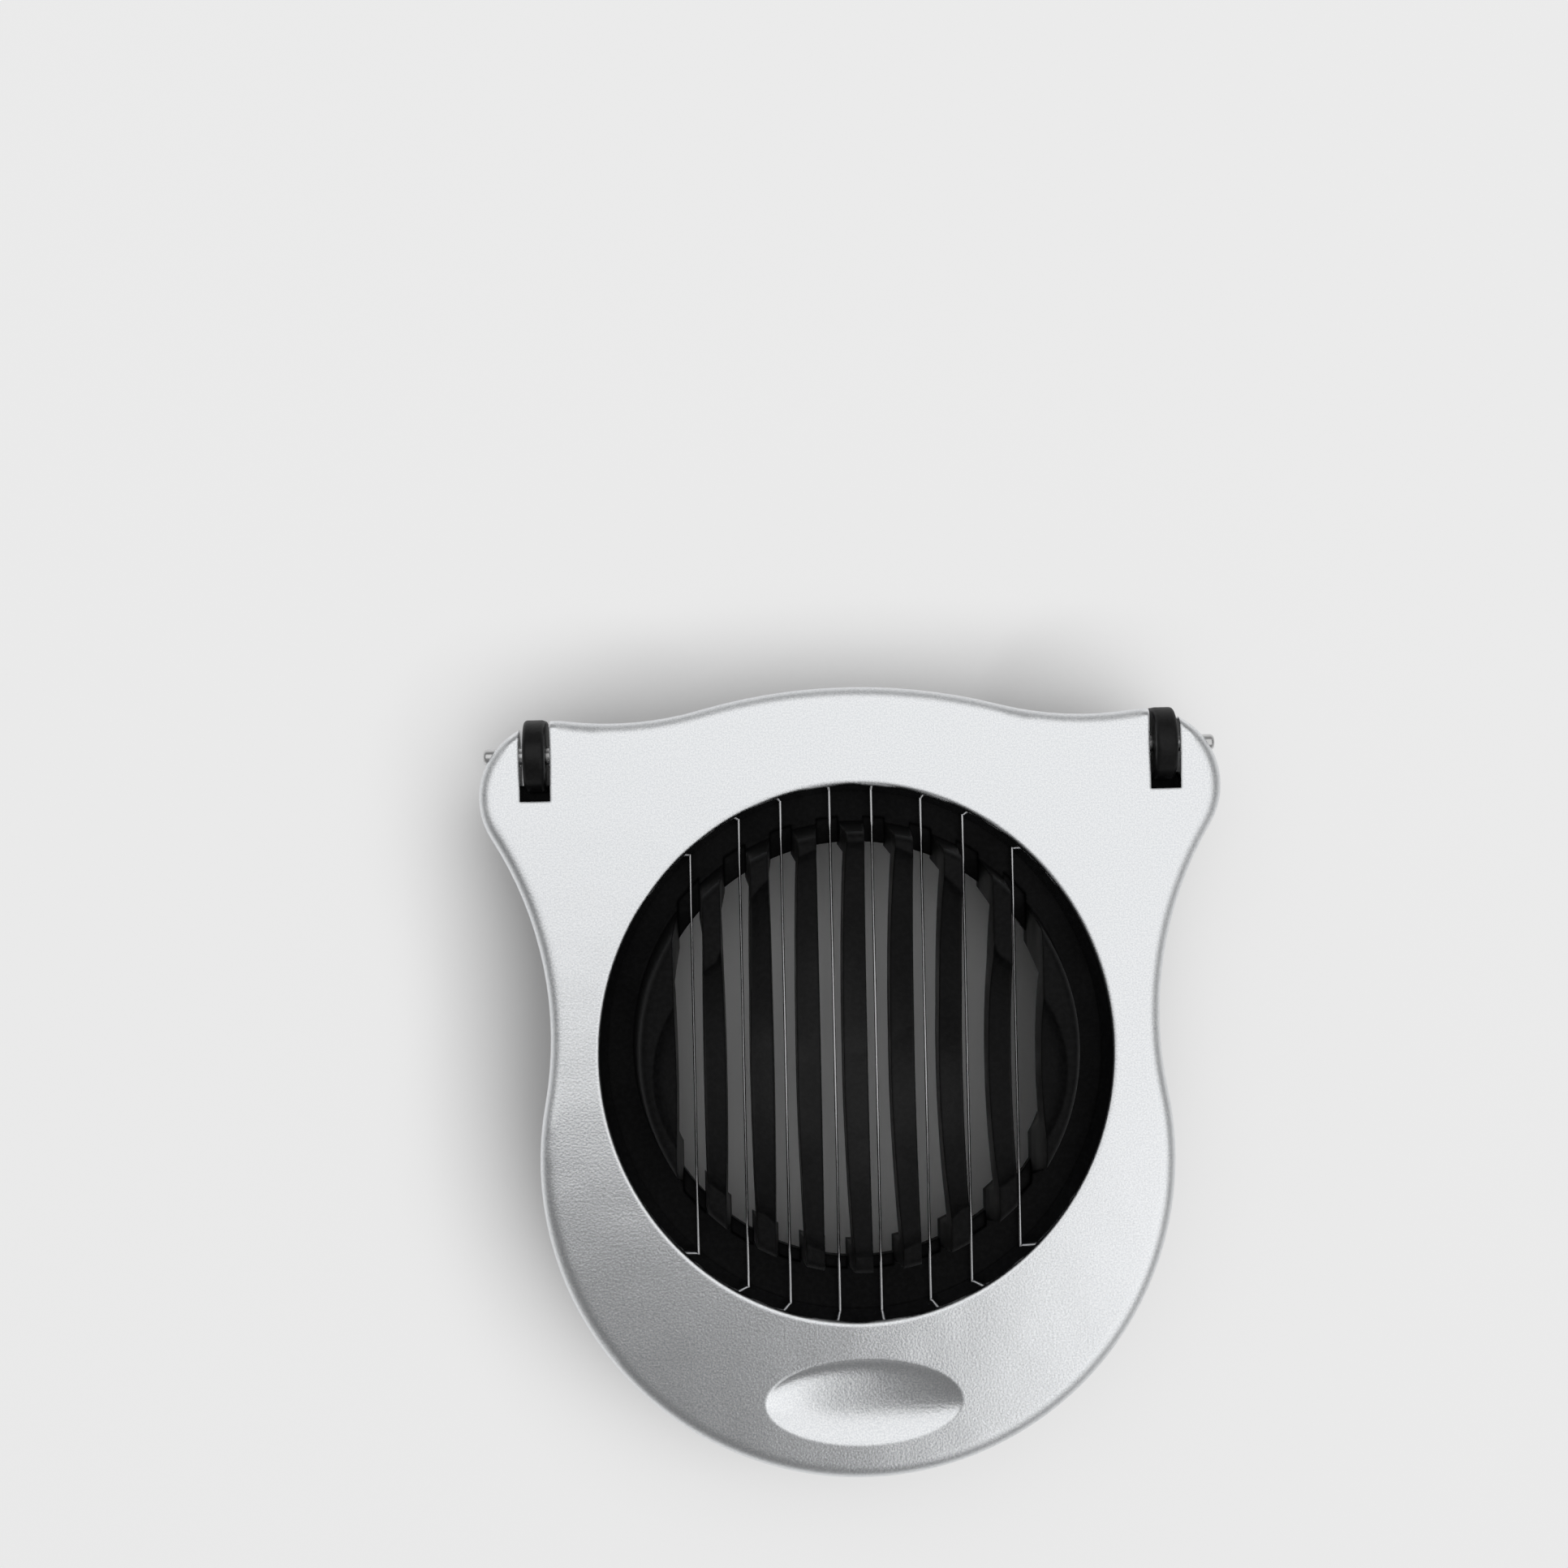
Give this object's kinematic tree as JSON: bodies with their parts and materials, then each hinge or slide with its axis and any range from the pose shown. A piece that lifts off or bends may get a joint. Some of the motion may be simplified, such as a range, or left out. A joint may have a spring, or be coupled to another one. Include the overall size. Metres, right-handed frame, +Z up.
{
  "type": "egg slicer",
  "caption": "Hand egg slicer: violin-shaped cast frame strung with parallel cutting wires, hinged on a black moulded base with a ribbed egg cradle.",
  "frame": {"origin": "middle of the footprint, on the surface that the base stands on", "axes": "+Z up, +Y towards the hinge, X across the cutting wires, which run along Y"},
  "size_m": [0.092, 0.098, 0.0275],
  "materials": {
    "cast_frame": "satin top, polished opening",
    "black_plastic": "fine texture",
    "steel_wire": "bright drawn",
    "steel_pin": "polished"
  },
  "bodies": {
    "base": {"egg_base": "black_plastic"},
    "frame": {"slicer_frame": "cast_frame", "hinge_pin_left": "steel_pin", "hinge_pin_right": "steel_pin", "cutting_wire_1": "steel_wire", "cutting_wire_2": "steel_wire", "cutting_wire_3": "steel_wire", "cutting_wire_4": "steel_wire", "cutting_wire_5": "steel_wire", "cutting_wire_6": "steel_wire", "cutting_wire_7": "steel_wire", "cutting_wire_8": "steel_wire", "rear_wire_ferrules": "steel_wire", "front_wire_ferrules": "steel_wire"}
  },
  "joints": [
    {"name": "frame_hinge", "type": "hinge", "parent": "base", "child": "frame", "pos_m": [0, 0.0412, 0.0176], "axis": [-1, 0, 0], "range_deg": [0, 95]}
  ]
}
